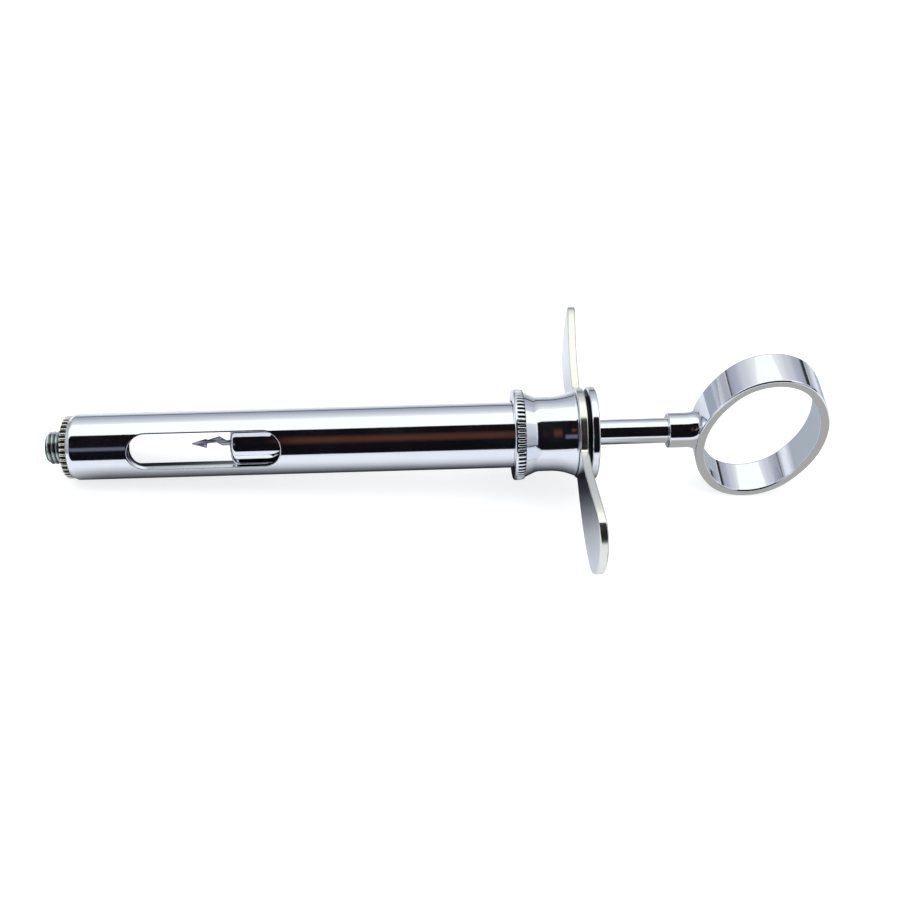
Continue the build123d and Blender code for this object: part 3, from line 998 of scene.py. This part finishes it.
def card_material(name, colour, strength):
    """A plain glow that fades out where the mesh says so, for the painted reflections and shade."""
    material, tree, add = new_material(name)
    tree.nodes.clear()
    glow = add("Emission", {"Color": (*colour, 1), "Strength": strength})
    cover = add("Attribute", attribute_name="cover")["Fac"]
    clear = add("BsdfTransparent")
    mix = add("MixShader", links={"Fac": cover, 1: clear[0], 2: glow[0]})
    add("OutputMaterial", links={"Surface": mix[0]})
    return material


def reflected_sheet(name, rows, cover, colour, strength=1.0):
    """A grid of points seen only in the metal, which paints reflections and shade on it, with how much it
    covers at each point.
    """
    made = sheet(name, rows, card_material(name, colour, strength))
    layer = made.data.attributes.new("cover", "FLOAT", "POINT")
    layer.data.foreach_set("value", [float(value) for row in cover for value in row])
    made.visible_camera = False
    made.visible_diffuse = False
    made.visible_shadow = False


FLOOR_FRONT = (2.0, -6.0)  # X and Z of the barrel's lower front edge, which rests on the table
FLOOR_BACK = (126.0, -16.2)  # the thumb ring's lowest point
FLOOR_SLOPE = (FLOOR_BACK[1] - FLOOR_FRONT[1]) / (FLOOR_BACK[0] - FLOOR_FRONT[0])
FLOOR_ROOM = 0.08  # keeps the ring's rim out of the table


def floor_z(x):
    """Height of the table, which slopes down under the syringe from its barrel to its ring."""
    return FLOOR_FRONT[1] + (x - FLOOR_FRONT[0]) * FLOOR_SLOPE - FLOOR_ROOM


sheet("table", [[(-TABLE_REACH, y, floor_z(-TABLE_REACH)), (TABLE_REACH, y, floor_z(TABLE_REACH))]
                for y in (-TABLE_REACH, TABLE_REACH)], floor_material())


def direction(turn, lift):
    """Unit vector lift degrees up from the near horizon over the top, and turn degrees towards +X."""
    t, e = radians(turn), radians(lift)
    return np.array([sin(t), -cos(t) * cos(e), cos(t) * sin(e)])


def card(name, turns, lifts, distance, colour, strength=1.0, soft=(0.0, 0.0)):
    """A sheet seen only in the metal, a painted reflection, from one turn to another and from one lift to
    another.

    soft is the share of its width and of its height over which it fades in from each edge.
    """
    steps = 24
    shares = np.linspace(0, 1, steps + 1)

    def between(ends, share):
        return ends[0] + (ends[1] - ends[0]) * share

    def fade_in(share, width):
        return 1.0 if width == 0 else min(1.0, min(share, 1 - share) / width)

    rows = [[STUDIO_CENTRE + distance * direction(between(turns, t), between(lifts, e)) for t in shares]
            for e in shares]
    cover = [[fade_in(t, soft[0]) * fade_in(e, soft[1]) for t in shares] for e in shares]
    reflected_sheet(name, rows, cover, colour, strength)


# Painted reflection: a near-black sheet on the near side that only the metal sees
card("painted_dark_room_reflection", (-58, 40), (2, 88), 700, (0.004, 0.004, 0.006))
# Painted reflection: a dim blue-grey streak inside the dark band
card("painted_blue_grey_reflection", (-56, -13.5), (31, 48), 640, (0.12, 0.13, 0.19), soft=(0.08, 0.35))
# Painted reflection: a broad dim brown-red glow that only the metal sees
card("painted_warm_reflection", (-10, 8.5), (34, 68), 620, (0.075, 0.028, 0.018), soft=(0.12, 0.4))
# Painted reflection: a small warm patch that only the metal sees
card("painted_warm_patch_reflection", (-38, -26), (50, 66), 610, (0.10, 0.035, 0.02), soft=(0.3, 0.4))
# Painted highlight: a bright sheet overhead that only the metal sees, while the lamp itself stays out of the
# metal
card("painted_overhead_highlight", (-60, 60), (89, 132), 620, (0.95, 1.0, 0.98), 1.15)


def floor_patch(name, x_range, cover_at, colour, height):
    """A sheet on the table seen only in the metal, which paints reflections and shade on it, with its cover
    at each Y. Its ends fade out over 10 mm.
    """
    places = np.linspace(*x_range, 29)
    fade = np.clip(np.minimum(places - x_range[0], x_range[1] - places) / 10, 0, 1)
    reflected_sheet(name, [[(x, y, floor_z(x) + height) for y, _ in cover_at] for x in places],
                    [[value * end for _, value in cover_at] for end in fade], colour)


# Painted reflection: lavender-grey on the far table, seen only in the metal
floor_patch("painted_far_reflection", (-700, 900), [(30, 0.0), (90, 0.6), (160, 1.0), (2900, 1.0)],
            (0.44, 0.46, 0.51), 0.01)
# Painted shade: grey on the table beside the ring, seen only in the metal
floor_patch("painted_ring_side_shade", (99, 175), [(-70, 0.0), (-50, 0.7), (-36, 1.0), (-4, 1.0), (8, 0.0)],
            (0.42, 0.42, 0.40), 0.02)
# Painted reflection: blue-grey on the table behind the ring, seen only in the metal
floor_patch("painted_ring_far_reflection", (99, 175), [(-6, 0.0), (6, 1.0), (70, 1.0), (110, 0.0)],
            (0.42, 0.47, 0.52), 0.025)
# Painted shade under the syringe: a near-black sheet on the table that only its polished underside sees
floor_patch("contact_shade", (-6, 112),
            [(-28, 0.0), (-20, 0.10), (-14, 0.32), (-9, 0.62), (-4, 0.88), (0, 0.98), (6, 0.98), (11, 0.7),
             (16, 0.3), (22, 0.0)], (0.008, 0.008, 0.014), 0.03)


def build_world():
    """White to the camera. The metal sees it darken from the top down, with a dark line at the horizon."""
    world = bpy.data.worlds.new("studio")
    bpy.context.scene.world = world
    world.use_nodes = True
    tree = world.node_tree
    tree.nodes.clear()
    add = node_adder(tree)
    height = add("SeparateXYZ", links={0: add("TexCoord")["Generated"]})["Z"]
    stops = [(0.0, (0.03, 0.035, 0.04)), (0.06, (0.05, 0.055, 0.06)), (0.10, (0.36, 0.38, 0.45)),
             (0.28, (0.44, 0.46, 0.55)), (0.5, (0.62, 0.65, 0.72)), (0.75, (0.90, 0.93, 0.94)),
             (1.0, (1.0, 1.0, 1.0))]
    sky = colour_ramp(tree, height, stops, "EASE")
    seen = add("Mix", {"B": (1, 1, 1, 1)}, {"Factor": add("LightPath")["Is Camera Ray"], "A": sky},
               data_type="RGBA")
    back = add("Background", links={"Color": seen["Result"]})
    add("OutputWorld", links={"Surface": back[0]})


def build_lamp():
    """One wide softbox above and a little behind the syringe. The metal doesn't show it."""
    key = bpy.data.lights.new("overhead_softbox", "AREA")
    key.shape = "RECTANGLE"
    key.size, key.size_y = 0.7, 0.5
    key.energy = 3.0
    lamp = bpy.data.objects.new("overhead_softbox", key)
    bpy.context.scene.collection.objects.link(lamp)
    lamp.visible_glossy = False
    way = Vector(direction(0, 96))
    place = Matrix.Translation(Vector(STUDIO_CENTRE * MM) + way * 0.6)
    lamp.matrix_world = place @ way.to_track_quat("Z", "Y").to_matrix().to_4x4()


build_world()
build_lamp()

# Camera, from the photograph
FRAME_PX = 900
FOCAL_PX = 1150.0
PX_PER_MM = 5.493  # at the anchor
ANCHOR_X = 40.22  # the place on the axis that falls on ANCHOR_PX in the frame
ANCHOR_PX = (290.0, 441.0)
DEPTH_TURN = 1.35  # degrees by which the ring end is turned away from the camera
IMAGE_SLOPE = 1.62  # degrees by which the axis rises to the right in the frame
ELEVATION = 50.5  # degrees above the syringe's horizontal plane
SENSOR_MM = 36.0


def build_camera():
    """The syringe's three axes as the camera sees them (right, down, ahead) give its place and its turn."""
    turn, slope, lift = radians(DEPTH_TURN), radians(IMAGE_SLOPE), radians(ELEVATION)
    x_seen = np.array([cos(slope) * cos(turn), -sin(slope) * cos(turn), sin(turn)])
    upward = np.array([0, -1.0, 0]) + x_seen * x_seen[1]
    upward /= np.linalg.norm(upward)
    away = np.cross(upward, x_seen)
    away *= np.sign(away[2])
    y_seen = sin(lift) * upward + cos(lift) * away
    z_seen = cos(lift) * upward - sin(lift) * away
    axes = np.array([x_seen, y_seen, z_seen])
    across, below = (np.array(ANCHOR_PX) - FRAME_PX / 2) / PX_PER_MM
    eye = ANCHOR_X * X_AXIS - axes @ np.array([across, below, FOCAL_PX / PX_PER_MM])
    lens = bpy.data.cameras.new("camera")
    lens.sensor_width = SENSOR_MM
    lens.lens = FOCAL_PX * SENSOR_MM / FRAME_PX
    lens.clip_start, lens.clip_end = 0.01, 20
    camera = bpy.data.objects.new("camera", lens)
    bpy.context.scene.collection.objects.link(camera)
    facing = np.column_stack([axes * [1, -1, -1], eye * MM])
    camera.matrix_world = Matrix([*facing.tolist(), [0, 0, 0, 1]])
    bpy.context.scene.camera = camera


build_camera()
bpy.context.scene.view_settings.view_transform = "Standard"
